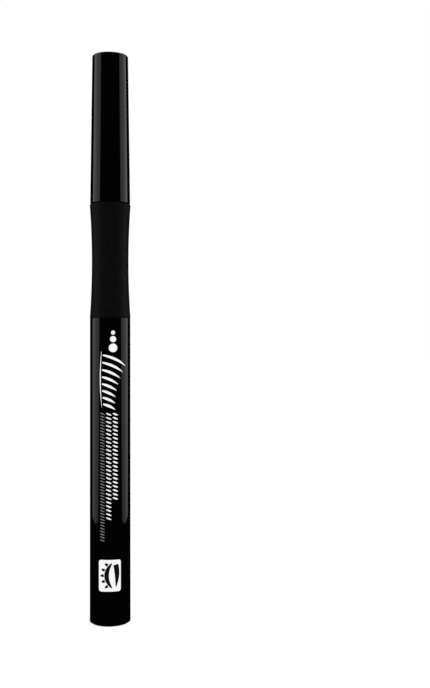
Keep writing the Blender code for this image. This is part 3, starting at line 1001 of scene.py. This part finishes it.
badge = {
    "across": -0.1 * mm,
    "height": 12.57 * mm,
    "width": 5.6 * mm,
    "length": 7.73 * mm,
    "corner": 0.6 * mm,
    "cornerSteps": 8,
    "lidHalf": 3.0 * mm,         # closed eye: half its length along the pen
    "lidAcross": 0.5 * mm,
    "lidBow": 1.3 * mm,
    "lidWidths": (0.3 * mm, 2.0 * mm, 0.3 * mm),
    "lashes": 5,
    "lashInset": 0.7,            # from the lid's end to the first lash, over the pitch of the lashes
    "lashGap": 0.12 * mm,
    "lashLength": 0.85 * mm,
    "lashWidths": (0.75 * mm, 0.7 * mm, 0.4 * mm),
    "browAcross": 1.5 * mm,
    "browHalf": 2.7 * mm,
    "browBow": 0.6 * mm,
    "browWidths": (1.3 * mm, 1.5 * mm, 0.2 * mm),
}


def bowed(start, middle, end, share):
    # a value that runs through three, as a bowed line or a stroke's width does
    rest = 1 - share
    return start * rest ** 2 + middle * 2 * share * rest + end * share ** 2


def strokeOutline(start, middle, end, widths):
    # a brush stroke: a bowed line of varied width
    left, right = [], []
    for step in range(printWork["strokeSteps"] + 1):
        share = step / printWork["strokeSteps"]
        point = bowed(start, middle, end, share)
        heading = ((middle - start) * (1 - share) + (end - middle) * share).normalized()
        side = Vector((-heading.y, heading.x)) * bowed(*widths, share) / 2
        left.append(point + side)
        right.append(point - side)
    return left + right[::-1]


def dotOutline(centre, radius, sides):
    points = []
    for side in range(sides):
        angle = math.tau * side / sides
        points.append(centre + Vector((math.cos(angle), math.sin(angle))) * radius)
    return points


def dotOutlines():
    outlines = []
    top = gradedDots["top"]
    for radius in gradedDots["radii"]:
        centre = Vector((gradedDots["across"], top - radius))
        outlines.append(dotOutline(centre, radius, gradedDots["sides"]))
        top -= 2 * radius + gradedDots["gap"]
    return outlines


def badgeOutline():
    centre = Vector((badge["across"], badge["height"]))
    halfWidth, halfLength = badge["width"] / 2 - badge["corner"], badge["length"] / 2 - badge["corner"]
    points = []
    for quarter, (across, up) in enumerate([(1, 1), (-1, 1), (-1, -1), (1, -1)]):
        middle = centre + Vector((across * halfWidth, up * halfLength))
        for step in range(badge["cornerSteps"] + 1):
            angle = math.pi / 2 * (quarter + step / badge["cornerSteps"])
            points.append(middle + Vector((math.cos(angle), math.sin(angle))) * badge["corner"])
    return points


def printPiece(name, outlines, low, high, material):
    shape = bmesh.new()
    for outline in outlines:
        shape.faces.new([shape.verts.new((point.x, 0, point.y)) for point in outline])
    shape.normal_update()
    bmesh.ops.triangulate(shape, faces=shape.faces)
    strip = printWork["stripWidth"]
    widest = max(abs(vert.co.x) for vert in shape.verts)
    for index in range(-int(widest / strip), int(widest / strip) + 1):
        bmesh.ops.bisect_plane(
            shape, geom=shape.verts[:] + shape.edges[:] + shape.faces[:], dist=meshWork["weld"],
            plane_co=(index * strip, 0, 0), plane_no=(1, 0, 0))
    bmesh.ops.remove_doubles(shape, verts=shape.verts, dist=printWork["weld"])
    raised = bmesh.ops.extrude_face_region(shape, geom=shape.faces[:])["geom"]
    tops = {part for part in raised if isinstance(part, bmesh.types.BMVert)}
    radius, foot, top = turnedSize("barrel")
    for vert in shape.verts:
        across, height = vert.co.x, vert.co.z
        tube = radius + (barrel["topRadius"] - radius) * (height - foot) / (top - foot)
        angle = printWork["turn"] + across / tube
        reach = tube + (high if vert in tops else -low)
        vert.co = (reach * math.sin(angle), -reach * math.cos(angle), height)
    bmesh.ops.recalc_face_normals(shape, faces=shape.faces)
    finishPiece(name, shape, "pen", material)
    print(name, "printed")


def lashOutlines():
    lid = [lashFan["lidTop"], lashFan["lidBow"], lashFan["lidFoot"]]
    outlines = [strokeOutline(*lid, lashFan["lidWidths"])]
    for index in range(lashFan["lashes"]):
        share = (index + 0.5) / lashFan["lashes"]
        root = bowed(*lid, share)
        root.x += lashFan["gap"] + lashFan["lidWidths"][1] / 2
        length = lashFan["shortest"] + (lashFan["longest"] - lashFan["shortest"]) * (1 - share) ** 2
        tip = root + Vector((1, -lashFan["slantShare"])) * length
        bow = (root + tip) / 2 + lashFan["bowHeading"] * lashFan["bowShare"] * length
        outlines.append(strokeOutline(root, bow, tip, lashFan["lashWidths"]))
    return outlines


def rowOutlines(row):
    outlines = []
    for index in range(int((row["top"] - row["low"]) / row["pitch"])):
        height = row["top"] - row["pitch"] * (index + 0.5)
        start = Vector((row["from"], height + row["slant"] / 2))
        end = Vector((row["to"], height - row["slant"] / 2))
        outlines.append(strokeOutline(start, (start + end) / 2, end, row["widths"]))
    return outlines


def iconOutlines():
    centre = Vector((badge["across"] + badge["lidAcross"], badge["height"]))
    top, low = centre + Vector((0, badge["lidHalf"])), centre - Vector((0, badge["lidHalf"]))
    bow = centre - Vector((2 * badge["lidBow"], 0))
    outlines = [strokeOutline(top, bow, low, badge["lidWidths"])]
    for index in range(badge["lashes"]):
        share = (index + badge["lashInset"]) / (badge["lashes"] - 1 + 2 * badge["lashInset"])
        heading = ((bow - top) * (1 - share) + (low - bow) * share).normalized()
        outward = Vector((heading.y, -heading.x))
        root = bowed(top, bow, low, share)
        root += outward * (bowed(*badge["lidWidths"], share) / 2 + badge["lashGap"])
        tip = root + outward * badge["lashLength"]
        outlines.append(strokeOutline(root, (root + tip) / 2, tip, badge["lashWidths"]))
    browTop = Vector((badge["across"] + badge["browAcross"], badge["height"] + badge["browHalf"]))
    browLow = browTop - Vector((0, 2 * badge["browHalf"]))
    browBow = (browTop + browLow) / 2 + Vector((badge["browBow"], 0))
    outlines.append(strokeOutline(browTop, browBow, browLow, badge["browWidths"]))
    return outlines


def makePrint():
    white = makeFinish("printWhite", whiteInk)
    low, high = printWork["sink"], printWork["inkHeight"]
    printPiece("printDots", dotOutlines(), low, high, white)
    printPiece("printLashFan", lashOutlines(), low, high, white)
    rows = [outline for row in markRows for outline in rowOutlines(row)]
    printPiece("printRows", rows, low, high, white)
    printPiece("printFineRow", rowOutlines(fineRow), low, high, makeFinish("printGrey", greyInk))
    printPiece("badgePlate", [badgeOutline()], low, high, white)
    black = makeFinish("printBlack", blackInk)
    printPiece("badgeIcon", iconOutlines(), low, printWork["iconHeight"], black)


makePrint()
